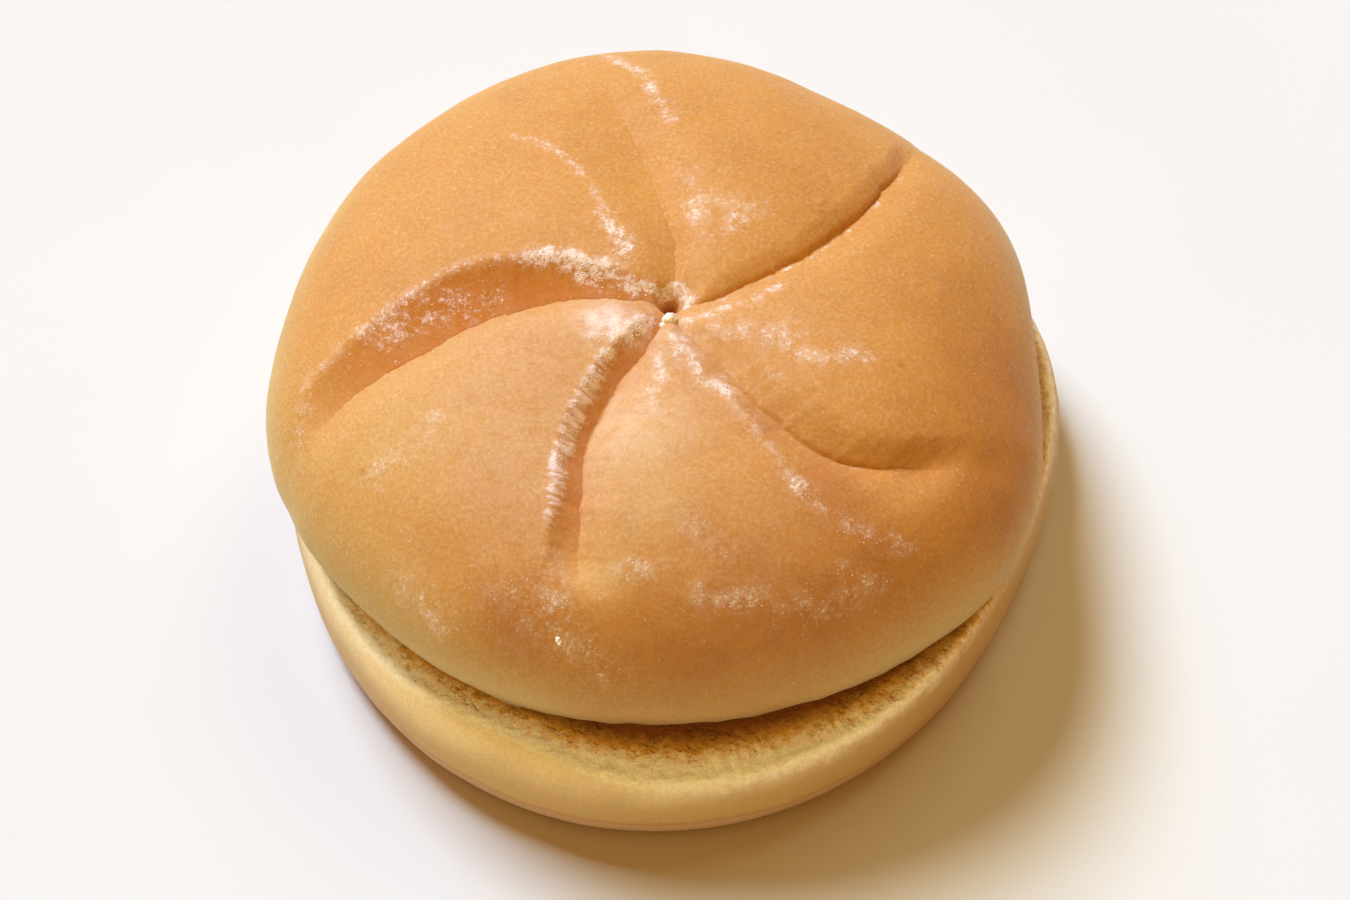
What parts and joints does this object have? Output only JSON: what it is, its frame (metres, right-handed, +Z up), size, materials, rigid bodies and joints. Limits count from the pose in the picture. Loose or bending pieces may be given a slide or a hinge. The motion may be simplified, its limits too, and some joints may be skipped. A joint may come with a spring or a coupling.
{
  "type": "kaiser roll",
  "caption": "Round star-topped bread roll cut through level, its domed crown lying a little askew on the flat heel.",
  "frame": {"origin": "middle of the heel's flat base", "axes": "+Z up out of the base, -Y towards the side where the heel shows past the crown, +X to the right seen from there"},
  "size_m": [0.1154, 0.1204, 0.0462],
  "materials": {
    "golden_crust": "matte",
    "pale_crust": "matte"
  },
  "bodies": {
    "root": {"crown": "golden_crust", "heel": "pale_crust"}
  },
  "joints": []
}
